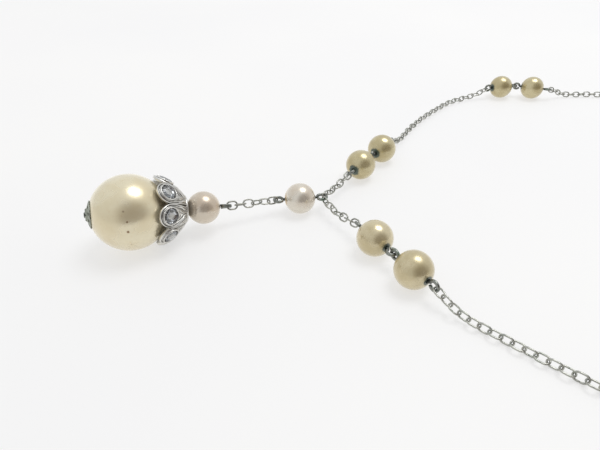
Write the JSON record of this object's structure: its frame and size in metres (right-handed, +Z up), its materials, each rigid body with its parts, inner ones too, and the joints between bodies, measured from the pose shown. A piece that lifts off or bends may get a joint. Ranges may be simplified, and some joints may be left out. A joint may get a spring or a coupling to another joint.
{
  "type": "lavaliere necklace",
  "caption": "Lavaliere necklace lying in a loop: an imitation pearl drop in a stone-set petal cap hangs from a cable chain with pearls in pairs.",
  "frame": {"origin": "middle of the whole necklace on the table it lies on", "axes": "+X from the drop towards the clasp, +Y away from the viewer of the picture, +Z up from the table"},
  "size_m": [0.1808, 0.1242, 0.0133],
  "materials": {
    "large_pearl": "cream imitation pearl coating with a soft yellow rim and small brown specks",
    "pink_pearl": "pinkish champagne imitation pearl coating, stained at the holes",
    "white_pearl": "whitish imitation pearl coating with a peach stain at one hole",
    "olive_pearl": "yellowed olive champagne imitation pearl coating",
    "worn_pearl": "champagne imitation pearl coating, speckled where worn",
    "cap_metal": "cast white metal, bright on the ridges and dark in the grooves",
    "cap_patina": "pierced white metal with grey-green tarnish",
    "stone": "clear faceted glass",
    "dark_wire": "tarnished dark wire with some verdigris",
    "chain_metal": "aged silver-coloured wire, darker where links meet"
  },
  "bodies": {
    "root": {"drop_pearl": "large_pearl", "end_cap": "cap_patina", "petal_cap": "cap_metal", "petal_stone_1": "stone", "petal_stone_2": "stone", "petal_stone_3": "stone", "petal_stone_4": "stone", "petal_stone_5": "stone", "petal_stone_6": "stone", "petal_stone_7": "stone", "petal_stone_8": "stone", "drop_bead": "pink_pearl", "drop_pin": "dark_wire", "drop_chain": "chain_metal", "connector_pearl": "white_pearl", "connector_pin": "dark_wire", "back_pearl_1": "olive_pearl", "back_pearl_2": "olive_pearl", "back_pearl_3": "olive_pearl", "back_pearl_4": "olive_pearl", "front_pearl_1": "worn_pearl", "front_pearl_2": "worn_pearl", "front_pearl_3": "worn_pearl", "front_pearl_4": "worn_pearl", "back_pin_1": "dark_wire", "back_pin_2": "dark_wire", "back_pin_3": "dark_wire", "back_pin_4": "dark_wire", "front_pin_1": "dark_wire", "front_pin_2": "dark_wire", "front_pin_3": "dark_wire", "front_pin_4": "dark_wire", "back_chain_1": "chain_metal", "back_chain_2": "chain_metal", "back_chain_3": "chain_metal", "front_chain_1": "chain_metal", "front_chain_2": "chain_metal", "front_chain_3": "chain_metal", "clasp": "chain_metal"}
  },
  "joints": []
}
